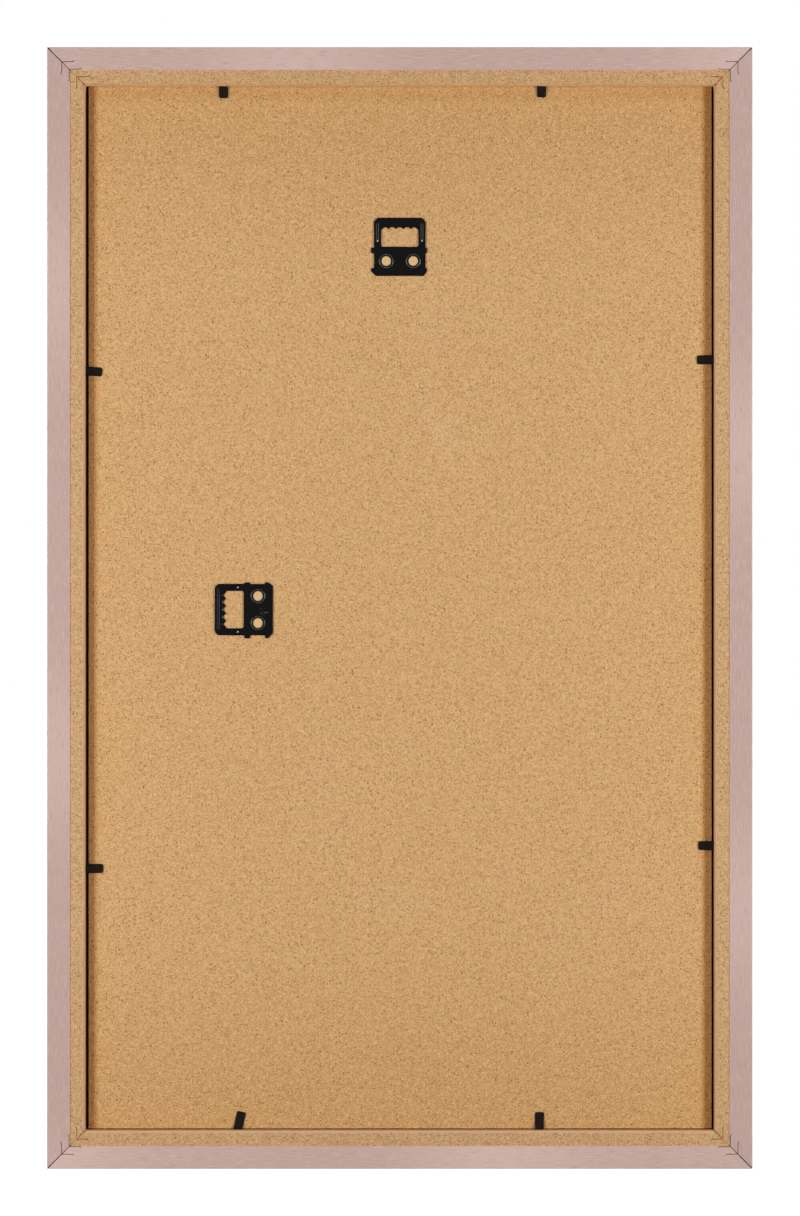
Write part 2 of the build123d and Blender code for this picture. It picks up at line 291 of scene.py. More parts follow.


# metallic foil, in metres: satin print with short fine dashes along the rail, a broad painted sheen band that
# repeats, and a frayed inner edge
foilLook = {
    "ground": (191, 163, 153), "light": (214, 186, 177), "dark": (170, 142, 132), "rose": (194, 163, 157),
    "sheenBand": (207, 179, 170), "bandLength": 0.2245, "bandPower": 3.0, "sheenBandMix": 0.95,
    "dashScale": (150, 2200, 2200), "dash": (1.0, 2.0, 0.6), "dashPale": 0.75, "dashDark": 0.60,
    "mote": (2200, 2.0, 0.6), "moteMix": 0.5, "grainFade": (0.52, 0.72),
    "blush": (60, 2.0), "blushFade": (0.42, 0.64), "blushMix": 0.6,
    "metal": 0.15, "rough": 0.5, "dashRough": 0.22, "moteRough": 0.12,
    "dashRise": 0.6, "moteRise": 0.4, "bump": 0.10, "depth": 0.00008,
    "fray": 0.00035, "frayGrain": (900, 2.0), "frayFade": (0.48, 0.72), "fraySoft": 0.00004,
    "frayLevel": (-0.0006, -0.0003), "frayTone": (188, 146, 102),
}
# each rail's foil: its painted sheen band's place along it in millimetres, and its painted shade, which sets
# how light the whole print is
foilSheenAndShade = {"top": (51.3, 0.93), "bottom": (-48.2, 0.98), "left": (-103.2, 0.86), "right": (-28.3, 0.86)}


def brushedFoil(name, look, letter, sheenPlace, paintedShade):
    finish, shader, place = newFinish(name)

    # the look's tones scaled by the rail's painted shade
    def railShadedTone(tone):
        return tuple(part * paintedShade for part in lightOf(look[tone])[:3]) + (1.0,)

    scale = look["dashScale"] if letter == "X" else tuple(reversed(look["dashScale"]))
    dash = grainOn(drawnOut(place, scale), *look["dash"])
    mote = grainOn(place, *look["mote"])
    blush = grainOn(place, *look["blush"])
    # a painted sheen band that repeats along the rail
    turned = (axisOf(place, letter) - sheenPlace * mm) * (2 * math.pi / look["bandLength"])
    wave = (turned.maths("COSINE", turned, 0.0) + 1) * 0.5
    sheenBand = wave.maths("POWER", wave, look["bandPower"])
    colour = tint(fade(blush, *look["blushFade"]) * look["blushMix"], railShadedTone("ground"), railShadedTone("rose"))
    colour = tint(sheenBand * look["sheenBandMix"], colour, railShadedTone("sheenBand"))
    for grain, paleMix, darkMix in ((dash, "dashPale", "dashDark"), (mote, "moteMix", "moteMix")):
        colour = tint(fade(grain, *look["grainFade"]) * look[paleMix], colour, railShadedTone("light"))
        colour = tint(fade(1 - grain, *look["grainFade"]) * look[darkMix], colour, railShadedTone("dark"))
    edge = (moulding["backWidth"] - moulding["foilReach"]) * mm
    torn = fade(grainOn(place, *look["frayGrain"]), *look["frayFade"]) * look["fray"]
    frayed = 1 - fade(outwardOf(place) - torn, edge, edge + look["fraySoft"])
    frayed = frayed * fade(axisOf(place, "Y"), *look["frayLevel"])
    colour = tint(frayed, colour, lightOf(look["frayTone"]))
    feed(shader, Base_Color=colour, Metallic=look["metal"] * (1 - frayed),
         Roughness=look["rough"] + (dash - 0.5) * look["dashRough"] + (mote - 0.5) * look["moteRough"],
         Normal=relief(dash * look["dashRise"] + mote * look["moteRise"], look["bump"], look["depth"]))
    return finish


# black lacquered steel strip, with a faint orange peel, rubbed spots, a painted glint of bare metal where a
# piece is marked for it, and a few bare scratches round one place (in millimetres)
steelLook = {
    "ground": (8, 8, 8), "rubbed": (30, 29, 30), "bareAndGlint": (186, 195, 194), "bareMetal": 0.25,
    "peel": (900, 2.0), "rubs": (240, 4.0, 0.65), "rubFade": (0.62, 0.76), "rubMix": 0.4,
    "glintFade": (0.3, 0.7), "rough": 0.20, "peelRough": 0.2, "rubRough": 0.08, "glintAndScratchRough": 0.1,
    "specular": 0.075, "bump": 0.06, "depth": 0.00008,
    "scratchPlace": (65.3, -5.4, -185.4), "scratchReach": (0.84, 2.8), "scratch": (1500, 2.0, 0.6),
    "scratchFade": (0.58, 0.68), "scratchMix": 0.5, "scratchLie": (1, 1, 0.6), "scratchTurn": (0, 0.7, 0),
}


def lacqueredSteel(name, look):
    finish, shader, place = newFinish(name)
    peel = grainOn(place, *look["peel"])
    rubs = fade(grainOn(place, *look["rubs"]), *look["rubFade"])
    # a painted glint of bare metal where a piece is marked for it, and bare scratches round one place
    glintAndScratches = fade(place.make("ShaderNodeAttribute", {"attribute_name": "paintedGlint"}, None, "Fac"), *look["glintFade"])
    colour = tint(rubs * look["rubMix"], lightOf(look["ground"]), lightOf(look["rubbed"]))
    spot = [value * mm for value in look["scratchPlace"]]
    away = place.make("ShaderNodeVectorMath", {"operation": "DISTANCE"}, {0: place, 1: spot}, "Value")
    near = 1 - fade(away, *(reach * mm for reach in look["scratchReach"]))
    marks = grainOn(drawnOut(place, look["scratchLie"], look["scratchTurn"]), *look["scratch"])
    glintAndScratches = glintAndScratches.maths("MAXIMUM", glintAndScratches, near * fade(marks, *look["scratchFade"]) * look["scratchMix"])
    colour = tint(glintAndScratches, colour, lightOf(look["bareAndGlint"]))
    rough = look["rough"] + (peel - 0.5) * look["peelRough"]
    rough = rough + rubs * look["rubRough"] + glintAndScratches * look["glintAndScratchRough"]
    feed(shader, Base_Color=colour, Metallic=glintAndScratches * look["bareMetal"], Roughness=rough,
         Specular_IOR_Level=look["specular"], Normal=relief(peel, look["bump"], look["depth"]))
    return finish


# the tabs' lacquer is warmer, a painted reflection of the warm board round them
tabWarmReflectionLook = dict(steelLook, ground=(24, 16, 11), rubbed=(56, 43, 34))


# nail steel: blued strip, browner in the raw board (its reach from the rebate wall in millimetres)
nailLook = {
    "ground": (108, 80, 67), "dark": (74, 50, 40), "stain": (700, 3.0, 0.6), "stainFade": (0.35, 0.65),
    "brown": (136, 96, 60), "brownReach": (5.0, 7.0), "brownMix": 0.8,
    "metal": 0.2, "rough": 0.5, "roughVary": 0.3,
}


def nailSteel(name, look):
    finish, shader, place = newFinish(name)
    stain = grainOn(place, *look["stain"])
    colour = tint(fade(stain, *look["stainFade"]), lightOf(look["dark"]), lightOf(look["ground"]))
    raw = 1 - fade(outwardOf(place), *(reach * mm for reach in look["brownReach"]))
    colour = tint(raw * look["brownMix"], colour, lightOf(look["brown"]))
    feed(shader, Base_Color=colour, Metallic=look["metal"],
         Roughness=look["rough"] + (stain - 0.5) * look["roughVary"])
    return finish


# dried glue, in millimetres from the rebate wall: dark in the open mitre at the outer corner, and thinner and
# paler inwards
glueLook = {
    "ground": (42, 23, 17), "dark": (20, 10, 7), "thin": (80, 50, 38), "thinReach": (7.15, 14.6),
    "stain": (180, 137, 91), "stainReach": (6.6, 7.15), "seam": (116, 78, 42), "seamReach": (2.6, 4.3),
    "clot": (900, 3.0, 0.6), "clotFade": (0.35, 0.65), "rough": 0.6, "roughVary": 0.3, "specular": 0.2,
}


def driedGlue(name, look):
    finish, shader, place = newFinish(name)
    clot = grainOn(place, *look["clot"])
    out = outwardOf(place)
    colour = tint(fade(clot, *look["clotFade"]), lightOf(look["dark"]), lightOf(look["ground"]))
    for tone in ("thin", "stain", "seam"):
        inward = 1 - fade(out, *(reach * mm for reach in look[tone + "Reach"]))
        colour = tint(inward, colour, lightOf(look[tone]))
    feed(shader, Base_Color=colour, Roughness=look["rough"] + (clot - 0.5) * look["roughVary"],
         Specular_IOR_Level=look["specular"])
    return finish


# insert sheet: plain warm white paper
paperLook = {
    "ground": (234, 229, 222), "dark": (222, 216, 206), "felt": (420, 4.0, 0.6), "feltMix": 0.5,
    "tone": (8, 2.0), "toneMix": 0.3, "grainFade": (0.4, 0.7),
    "rough": 0.8, "roughVary": 0.1, "specular": 0.25, "bump": 0.08, "depth": 0.0001,
}


def plainPaper(name, look):
    finish, shader, place = newFinish(name)
    felt = grainOn(place, *look["felt"])
    tone = grainOn(place, *look["tone"])
    felted = fade(felt, *look["grainFade"]) * look["feltMix"]
    toned = fade(tone, *look["grainFade"]) * look["toneMix"]
    colour = tint(felted + toned, lightOf(look["ground"]), lightOf(look["dark"]))
    feed(shader, Base_Color=colour, Roughness=look["rough"] + (felt - 0.5) * look["roughVary"],
         Specular_IOR_Level=look["specular"], Normal=relief(felt, look["bump"], look["depth"]))
    return finish


# clear glass; light reaches the sheet behind it because shadow and diffuse rays pass straight through
glassLook = {
    "tone": (252, 253, 252), "through": (0.97, 0.98, 0.975, 1.0), "ior": 1.5,
    "rough": 0.015, "smear": (12, 3.0, 0.6), "smearFade": (0.45, 0.75), "smearRough": 0.02,
}


def clearGlass(name, look):
    finish, shader, place = newFinish(name)
    smear = fade(grainOn(place, *look["smear"]), *look["smearFade"])
    feed(shader, Base_Color=lightOf(look["tone"]), Transmission_Weight=1.0, IOR=look["ior"],
         Roughness=look["rough"] + smear * look["smearRough"])
    shadow = place.make("ShaderNodeLightPath", None, None, "Is Shadow Ray")
    bounce = place.make("ShaderNodeLightPath", None, None, "Is Diffuse Ray")
    straight = shadow.maths("MAXIMUM", shadow, bounce)
    through = place.make("ShaderNodeBsdfTransparent", None, {"Color": look["through"]})
    glass = Signal(place.tree, shader.outputs[0])
    mixed = place.make("ShaderNodeMixShader", None, {0: straight, 1: glass, 2: through})
    place.tree.links.new(mixed.socket, place.tree.nodes["Material Output"].inputs["Surface"])
    return finish


boardFinish = backingBoard("backing fibreboard", boardLook, rimShadeAndLightLook)
railFinish = railCore("rail fibreboard", railLook, arrisAndWallShadeLook)
blackFinish = lacqueredSteel("black lacquered steel", steelLook)
tabFinish = lacqueredSteel("black lacquer with painted warm reflection", tabWarmReflectionLook)
nailFinish = nailSteel("nail steel", nailLook)
glueFinish = driedGlue("dried glue", glueLook)
paperFinish = plainPaper("insert paper", paperLook)
glassFinish = clearGlass("clear glass", glassLook)

finishOf = {"backing_board": boardFinish, "insert_sheet": paperFinish, "glass_pane": glassFinish,
            "tab_shanks": tabFinish}
for side, (sheenPlace, paintedShade) in foilSheenAndShade.items():
    letter = "Z" if side in ("left", "right") else "X"
    finishOf[side + "_rail"] = railFinish
    foilFinish = brushedFoil("brushed foil with painted shade " + side, foilLook, letter, sheenPlace, paintedShade)
    finishOf[side + "_rail_foil"] = foilFinish
for name, node in nodes.items():
    finish = finishOf.get(name, nailFinish if name.startswith("v_nails") else blackFinish)
    for materialSlot in node.material_slots:
        materialSlot.material = finish
print("finishes made")


def asPiece(bm, name, finish, body, slotName, *replaced, wall=None, crease=42):
    bmesh.ops.recalc_face_normals(bm, faces=bm.faces)
    mesh = bpy.data.meshes.new(name)
    bm.to_mesh(mesh)
    bm.free()
    mesh.materials.append(finish)
    mesh.shade_smooth()
    mesh.set_sharp_from_angle(angle=math.radians(crease))
    piece = bpy.data.objects.new(name, mesh)
    bpy.context.scene.collection.objects.link(piece)
    if wall:  # a strip gets its thickness to both sides
        sheet = piece.modifiers.new("strip", "SOLIDIFY")
        sheet.thickness, sheet.offset, sheet.use_even_offset = wall, 0.0, True
    even = piece.modifiers.new("even shading", "WEIGHTED_NORMAL")
    even.keep_sharp = True
    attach(piece, body)
    if replaced:
        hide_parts(*replaced)


hair = 0.01  # two places closer than this, in millimetres, count as one


def newOf(kind, result):
    return [part for part in result["geom"] if isinstance(part, kind)]


def roundCorners(bm, corners, reach, segments):
    bmesh.ops.bevel(bm, geom=corners, offset=reach, offset_type="OFFSET", segments=segments, profile=0.5,
                    affect="VERTICES", material=-1, clamp_overlap=True)


def roundEdges(bm, edges, reach, segments):
    bmesh.ops.bevel(bm, geom=edges, offset=reach, offset_type="OFFSET", segments=segments, profile=0.5,
                    affect="EDGES", material=-1, clamp_overlap=True)


def sharpEdges(bm, least=60):
    return [edge for edge in bm.edges if edge.is_manifold and edge.calc_face_angle() > math.radians(least)]


def drawOn(bm, edges, step, scale=None, about=None):  # pulls a row of edges on, and hands back the new row
    made = bmesh.ops.extrude_edge_only(bm, edges=edges)
    verts = newOf(bmesh.types.BMVert, made)
    if scale is not None:
        bmesh.ops.scale(bm, vec=scale, verts=verts, space=Matrix.Translation(-about))
    bmesh.ops.translate(bm, vec=step, verts=verts)
    return [edge for edge in newOf(bmesh.types.BMEdge, made) if all(vert in verts for vert in edge.verts)]


# V-nails, in millimetres from the outer corner: each strip runs in along both rails from a point on the mitre
nailForm = {
    "points": (7.05, 10.65, 14.25), "arm": 5.3, "hook": 0.636, "thick": 0.29, "sink": 0.3, "deep": 6.98,
}
cornerSigns = {"top_left": (-1, 1), "top_right": (1, 1), "bottom_left": (-1, -1), "bottom_right": (1, -1)}


def cornerPlace(signs):  # from the outer corner in along both rails, and out of the back, to the row
    x = cadHigh.x if signs[0] > 0 else cadLow.x
    z = cadHigh.z if signs[1] > 0 else cadLow.z
    return Matrix(((-signs[0] * mm, 0, 0, x), (0, 0, mm, 0), (0, -signs[1] * mm, 0, z), (0, 0, 0, 1)))


def vNails(form):
    bm = bmesh.new()
    hook = form["hook"]
    for point in form["points"]:
        tip = point + form["arm"]
        path = [
            (tip + hook, point - hook), (tip, point), (point, point),
            (point, tip), (point - hook, tip + hook),
        ]
        ridge = [bm.verts.new((x, y, -form["sink"])) for x, y in path]
        edges = [bm.edges.new(pair) for pair in zip(ridge, ridge[1:])]
        drawOn(bm, edges, (0, 0, -form["deep"]))
    return bm


# dried glue in the open mitre lines, a wedge from the outer corner to the inner one
glueForm = {"start": 0.5, "end": 18.2, "startOpen": 0.62, "endOpen": 0.16, "top": -0.14, "deep": 1.04}


def mitreGlue(form):
    bm = bmesh.new()
    start, end, wide, thin = form["start"], form["end"], form["startOpen"] / 2, form["endOpen"] / 2
    outline = [
        (start - wide, start + wide), (start + wide, start - wide),
        (end + thin, end - thin), (end - thin, end + thin),
    ]
    bm.faces.new([bm.verts.new((x, y, form["top"])) for x, y in outline])
    lowered = bmesh.ops.extrude_face_region(bm, geom=bm.faces[:])
    bmesh.ops.translate(bm, vec=(0, 0, -form["deep"]), verts=newOf(bmesh.types.BMVert, lowered))
    return bm


for name, signs in cornerSigns.items():
    nails = vNails(nailForm)
    bmesh.ops.transform(nails, matrix=cornerPlace(signs), verts=nails.verts)
    asPiece(nails, "nails_" + name, nailFinish, "frame", "nail_steel", "v_nails_" + name,
            wall=nailForm["thick"] * mm)
    glue = mitreGlue(glueForm)
    bmesh.ops.transform(glue, matrix=cornerPlace(signs), verts=glue.verts)
    asPiece(glue, "mitre_glue_" + name, glueFinish, "frame", "rail_fibreboard")
print("corners nailed")


# sawtooth hangers, in millimetres: x across, y up to the loop, z out of the back from the board; a round is
# its radius and its number of segments
hanger = {
    "sheet": 0.6, "half": 12.4, "windowHalf": 9.0, "windowHeight": 9.9, "windowRound": (0.9, 5),
    "plateFoot": -24.0, "footInset": 0.9, "footRise": 2.3, "footEar": 1.5, "earLeft": 1.45, "earRight": 0.75,
    "earTop": -10.3, "earHeight": 2.7, "stubTop": -8.72, "cornerRound": (0.3, 3), "edgeRound": (0.11, 2),
    "eyeletSide": 6.5, "eyeletHeight": -16.8, "eyeletBore": 2.5, "eyeletTube": 3.05, "eyeletFlange": 3.62,
    "eyeletHole": 3.2, "eyeletRise": 0.26, "eyeletCone": 0.42, "eyeletFall": 0.191, "eyeletRoll": (0.2, 6),
    "eyeletPress": 2.4, "eyeletSegments": 48, "eyeletRim": 0.12, "eyeletGlint": 0.50,
    "loopTop": 4.05, "loopChamfer": 1.7, "chamferRound": (0.6, 3), "loopLift": 0.1, "loopEnd": -8.7,
    "endRound": (0.288, 4), "teeth": 4, "toothPitch": 3.6, "toothTip": -1.45,
    "notchRise": 0.9, "notchShoulder": 1.05, "notchRound": (0.22, 4), "sideDrop": 0.35, "sideShoulder": 1.6,
    "coinReach": 1.0, "coinDrop": 0.5, "crease": 20,
    "beadInset": 1.7, "beadRoof": ((0.66, 0.0), (0.60, 0.12), (0.32, 0.248), (0.0, 0.262)),
    "beadCorner": 1.6, "beadSteps": 8, "beadStop": -7.0, "beadSink": 0.03, "beadEnd": 0.7, "beadEndSteps": 5,
    "beadPoint": 0.001, "beadWeld": 0.005, "beadGlintSpan": 0.7,
    "glintReach": 0.45, "glintWidth": 0.34, "glintSide": 0.42,
}
landscape = {"inset": 84.4, "shift": -0.8}  # the landscape nail from the frame's side, and from its middle
hangerPlaces = {
    "portrait": Matrix(((-1, 0, 0, 0), (0, 0, 1, -moulding["recess"] * mm), (0, 1, 0, 0), (0, 0, 0, 1))),
    "landscape": Matrix((
        (0, 1, 0, cadHigh.x - landscape["inset"] * mm), (0, 0, 1, -moulding["recess"] * mm),
        (1, 0, 0, middle.z + landscape["shift"] * mm), (0, 0, 0, 1),
    )),
}


def plateSide(h, ear):  # from the foot up past two ears to the stub, then in to the window's corner
    half, foot = h["half"], h["plateFoot"]
    footEar = foot + h["footRise"] + h["footEar"]
    earFoot = h["earTop"] - h["earHeight"]
    return [
        (half - h["footInset"], foot), (half + ear, foot + h["footRise"]),
        (half + ear, footEar), (half, footEar),
        (half, earFoot), (half + ear, earFoot), (half + ear, h["earTop"]), (half, h["earTop"]),
        (half, h["stubTop"]), (h["windowHalf"], h["stubTop"]), (h["windowHalf"], -h["windowHeight"]),
    ]


def pressedPlate(h):
    bm = bmesh.new()
    paintedGlint = bm.verts.layers.float.new("paintedGlint")
    right = plateSide(h, h["earRight"])
    corners = [bm.verts.new((x, y, h["sheet"])) for x, y in right]
    corners += [bm.verts.new((-x, y, h["sheet"])) for x, y in reversed(plateSide(h, h["earLeft"]))]
    bm.faces.new(corners)
    last = len(right) - 1
    roundCorners(bm, corners[last:last + 2], *h["windowRound"])
    outer = corners[:last - 2] + corners[last + 4:]
    roundCorners(bm, outer, *h["cornerRound"])
    bmesh.ops.delete(bm, geom=bm.faces[:], context="FACES_ONLY")
    centres = [Vector((side * h["eyeletSide"], h["eyeletHeight"], h["sheet"])) for side in (-1, 1)]
    for centre in centres:
        bmesh.ops.create_circle(bm, cap_ends=False, segments=h["eyeletSegments"], radius=h["eyeletHole"],
                                matrix=Matrix.Translation(centre))
    bmesh.ops.triangle_fill(bm, use_beauty=True, use_dissolve=False, edges=bm.edges[:], normal=(0, 0, 1))
    raised = bmesh.ops.extrude_face_region(bm, geom=bm.faces[:])
    bmesh.ops.translate(bm, vec=(0, 0, -h["sheet"]), verts=newOf(bmesh.types.BMVert, raised))
    bmesh.ops.recalc_face_normals(bm, faces=bm.faces)
    roundEdges(bm, sharpEdges(bm), *h["edgeRound"])
    for centre in centres:
        eyelet(bm, h, centre)
        rim = h["eyeletFlange"] - h["eyeletCone"]
        for vert in bm.verts:  # the rolled rim gets a painted glint of bare metal
            if abs((vert.co.xy - centre.xy).length - rim) < hair and vert.co.z > h["sheet"]:
                vert[paintedGlint] = h["eyeletGlint"]
    return bm


def eyelet(bm, h, centre):  # hollow rivet: a rolled flange on the plate and a tube down into the board
    top, bore, flange = h["sheet"] + h["eyeletRise"], h["eyeletBore"], h["eyeletFlange"]
    seat, foot = h["sheet"] - h["beadSink"], -h["eyeletPress"]
    outline = [
        (flange, seat), (flange, top - h["eyeletFall"]), (flange - h["eyeletCone"], top),
        (flange - h["eyeletCone"] - h["eyeletRim"], top), (bore, top),
        (bore, foot), (h["eyeletTube"], foot), (h["eyeletTube"], seat),
    ]
    corners = [bm.verts.new((centre.x + radius, centre.y, level)) for radius, level in outline]
    bm.faces.new(corners)
    roundCorners(bm, corners[4:5], *h["eyeletRoll"])
    section = [face for face in bm.faces if not any(edge.is_manifold for edge in face.edges)]
    edges = [edge for face in section for edge in face.edges]
    verts = [vert for face in section for vert in face.verts]
    bmesh.ops.delete(bm, geom=section, context="FACES_ONLY")
    bmesh.ops.spin(bm, geom=edges + verts, cent=centre, axis=(0, 0, 1), angle=2 * math.pi,
                   steps=h["eyeletSegments"], use_merge=True)


def loopBead(bm, h, paintedGlint):  # low bead: one section drawn up an arm, round both corners and down again
    side, corner = h["half"] - h["beadInset"], h["beadCorner"]
    top = h["loopTop"] - h["beadInset"]
    base = Vector((-side, h["beadStop"], h["loopLift"] + h["sheet"] - h["beadSink"]))
    roof = [(-across, up) for across, up in h["beadRoof"][:-1]] + list(reversed(h["beadRoof"]))
    verts = [bm.verts.new(base + Vector((across, 0, up))) for across, up in roof]
    start = [bm.edges.new(pair) for pair in zip(verts, verts[1:])]
    arm = top - corner - h["beadStop"] - h["beadGlintSpan"]
    section = drawOn(bm, start, (0, h["beadGlintSpan"], 0))
    section = drawOn(bm, section, (0, arm, 0))
    for turn in (-1, 1):
        about = Vector((turn * (side - corner), top - corner, 0))
        verts = [vert for vert in bm.verts if any(edge in section for edge in vert.link_edges)]
        bend = bmesh.ops.spin(bm, geom=section + verts, cent=about, axis=(0, 0, -1), angle=math.pi / 2,
                              steps=h["beadSteps"])
        section = [part for part in bend["geom_last"] if isinstance(part, bmesh.types.BMEdge)]
        section = drawOn(bm, section, (2 * (side - corner), 0, 0) if turn < 0 else (0, -arm, 0))
    section = drawOn(bm, section, (0, -h["beadGlintSpan"], 0))
    for row, across in ((start, -side), (section, side)):  # rounds both ends off to a point
        reach, width = 0.0, 1.0
        for step in range(1, h["beadEndSteps"] + 1):
            turn = math.pi / 2 * step / h["beadEndSteps"]
            nextWidth = max(math.cos(turn), h["beadPoint"])
            nextReach = h["beadEnd"] * math.sin(turn)
            narrower = (nextWidth / width, 1, nextWidth / width)
            row = drawOn(bm, row, (0, reach - nextReach, 0), narrower, Vector((across, 0, base.z)))
            reach, width = nextReach, nextWidth
    bmesh.ops.remove_doubles(bm, verts=bm.verts, dist=h["beadWeld"])
    bmesh.ops.holes_fill(bm, edges=[edge for edge in bm.edges if edge.is_boundary], sides=0)
    for vert in bm.verts:  # a painted glint of bare metal on the bead's ends
        off = abs(abs(vert.co.x) - side)
        atEnd = -h["glintReach"] < vert.co.y - h["beadStop"] < hair
        if atEnd and off < h["glintWidth"] and vert.co.z > base.z + hair:
            vert[paintedGlint] = 1.0 if off < hair else h["glintSide"]


def toothedLoop(h):
    bm = bmesh.new()
    paintedGlint = bm.verts.layers.float.new("paintedGlint")
    half, window, tip, top = h["half"], h["windowHalf"], h["toothTip"], h["loopLift"] + h["sheet"]
    shoulder, crest = h["loopTop"] - h["loopChamfer"], half - h["loopChamfer"]
    tips = [h["toothPitch"] * (index - (h["teeth"] - 1) / 2) for index in range(h["teeth"])]
    stops = [-window, *tips, window]
    outer = [
        (half, h["loopEnd"]), (half, shoulder), (crest, h["loopTop"]),
        (-crest, h["loopTop"]), (-half, shoulder), (-half, h["loopEnd"]),
    ]
    inner = [(-window, h["loopEnd"]), (-window, tip - h["sideDrop"])]
    peaks = []
    for start, stop in zip(stops, stops[1:]):  # each notch has two shoulders, further in beside the arms
        rise = h["sideShoulder"] if start == -window else h["notchShoulder"]
        fall = h["sideShoulder"] if stop == window else h["notchShoulder"]
        peaks += [len(outer) + len(inner), len(outer) + len(inner) + 1]
        inner += [(start + rise, tip + h["notchRise"]), (stop - fall, tip + h["notchRise"]), (stop, tip)]
    inner[-1] = (window, tip - h["sideDrop"])
    inner.append((window, h["loopEnd"]))
    corners = [bm.verts.new((x, y, top)) for x, y in outer + inner]
    bm.faces.new(corners)
    roundCorners(bm, [corners[index] for index in peaks], *h["notchRound"])
    roundCorners(bm, corners[1:5], *h["chamferRound"])
    arches = [vert for vert in bm.verts
              if abs(vert.co.x) < window and tip < vert.co.y < tip + h["notchRise"] + hair]
    face = bm.faces[:]
    row = drawOn(bm, bm.edges[:], (0, 0, -h["sheet"]))
    bmesh.ops.holes_fill(bm, edges=row, sides=0)
    walls = [wall for wall in bm.faces if wall not in face and any(vert in arches for vert in wall.verts)]
    rims = [edge for edge in bm.edges if any(wall in walls for wall in edge.link_faces)]
    bmesh.ops.bisect_plane(bm, geom=walls + rims, plane_co=(0, 0, top - h["coinDrop"]), plane_no=(0, 0, 1))
    crown = max(vert.co.y for vert in arches)
    for vert in arches:  # the punch leaves a sloping edge at the top of each notch
        vert.co.y += h["coinReach"] * (vert.co.y - tip) / (crown - tip)
    bmesh.ops.recalc_face_normals(bm, faces=bm.faces)
    ends = [edge for edge in sharpEdges(bm) if all(vert.co.y < h["loopEnd"] + hair for vert in edge.verts)
            and abs(edge.verts[0].co.z - edge.verts[1].co.z) < hair]
    roundEdges(bm, ends, *h["endRound"])
    bm.normal_update()
    roundEdges(bm, sharpEdges(bm), *h["edgeRound"])
    loopBead(bm, h, paintedGlint)
    return bm


for name, place in hangerPlaces.items():
    toRow = place @ Matrix.Scale(mm, 4)
    plate = pressedPlate(hanger)
    bmesh.ops.transform(plate, matrix=toRow, verts=plate.verts)
    asPiece(plate, name + "_plate_pressed", blackFinish, "backing", "black_steel", name + "_hanger_plate",
            crease=hanger["crease"])
    loop = toothedLoop(hanger)
    bmesh.ops.transform(loop, matrix=toRow, verts=loop.verts)
    asPiece(loop, name + "_loop_toothed", blackFinish, name + "_loop", "black_steel", name + "_hanger_loop",
            crease=hanger["crease"])
print("hangers pressed")


# flexible tabs, in millimetres: reach in from the rebate wall, lean along the rail, bend down to the board
tabForm = {
    "width": 4.4, "thick": 0.5, "start": 0.1, "startLevel": -4.65, "bend": 3.5, "level": -5.45,
    "bendRound": (0.9, 4), "tipRound": (1.0, 4), "edgeRound": (0.12, 2),
}
tabWalls = {  # each rebate wall's middle, the way in from it, and the way along it
    "top": (middle + Vector((0, 0, rebateHalf.z)), (0, 0, -1), (1, 0, 0)),
    "bottom": (middle - Vector((0, 0, rebateHalf.z)), (0, 0, 1), (1, 0, 0)),
    "left": (middle - Vector((rebateHalf.x, 0, 0)), (1, 0, 0), (0, 0, 1)),
    "right": (middle + Vector((rebateHalf.x, 0, 0)), (-1, 0, 0), (0, 0, 1)),
}
tabs = {  # place along the rail from its middle, reach from the wall, lean in degrees
    "top_left": (-68.3, 5.3, 0.0), "top_right": (84.9, 5.7, 0.0),
    "bottom_left": (-67.2, 8.4, -1.5), "bottom_right": (78.1, 8.6, -13.0),
    "left_upper": (119.5, 8.1, 0.0), "left_lower": (-114.5, 7.4, 0.0),
    "right_upper": (114.1, 7.9, -3.0), "right_lower": (-125.5, 8.4, 0.0),
}


def flexTab(form, reach, lean):
    bm = bmesh.new()
    slope = math.tan(math.radians(lean))
    half = form["width"] / 2
    start = [bm.verts.new((form["start"], across, form["startLevel"])) for across in (-half, half)]
    row = [bm.edges.new(start)]
    run, drop = form["bend"] - form["start"], form["level"] - form["startLevel"]
    bend = drawOn(bm, row, (run, run * slope, drop))
    tip = drawOn(bm, bend, (reach - form["bend"], (reach - form["bend"]) * slope, 0))
    ends = list(tip[0].verts)
    turn = Matrix.Rotation(math.radians(lean), 3, "Z")
    bmesh.ops.rotate(bm, cent=(ends[0].co + ends[1].co) / 2, matrix=turn, verts=ends)
    roundCorners(bm, ends, *form["tipRound"])
    atBend = [edge for edge in bm.edges if all(abs(vert.co.x - form["bend"]) < hair for vert in edge.verts)]
    roundEdges(bm, atBend, *form["bendRound"])
    bmesh.ops.recalc_face_normals(bm, faces=bm.faces)
    bm.normal_update()
    if max(bm.faces, key=lambda face: face.calc_area()).normal.z < 0:
        bmesh.ops.reverse_faces(bm, faces=bm.faces)
    bmesh.ops.solidify(bm, geom=bm.faces[:], thickness=form["thick"])
    bm.normal_update()
    roundEdges(bm, sharpEdges(bm), *form["edgeRound"])
    return bm


for name, (along, reach, lean) in tabs.items():
    wall, inward, across = tabWalls[name.split("_")[0]]
    spot = wall + Vector(across) * along * mm
    toRow = Matrix((
        (inward[0], across[0], 0, spot.x), (0, 0, 1, 0), (inward[2], across[2], 0, spot.z), (0, 0, 0, 1),
    )) @ Matrix.Scale(mm, 4)
    tab = flexTab(tabForm, reach, lean)
    bmesh.ops.transform(tab, matrix=toRow, verts=tab.verts)
    asPiece(tab, "tab_" + name, tabFinish, "flex_tab_" + name, "black_steel", "flex_tab_" + name)
print("tabs bent")


# backing board, in millimetres: its sawn edges are eased, apart from the top one, which is pushed up to the
# rail, and it swells up a little inside each eyelet
boardForm = {
    "ease": 0.28, "easeSteps": 2, "push": 0.08,
    "plug": 2.44, "plugTop": 2.2, "plugRise": 0.72, "plugSink": 0.5,
}


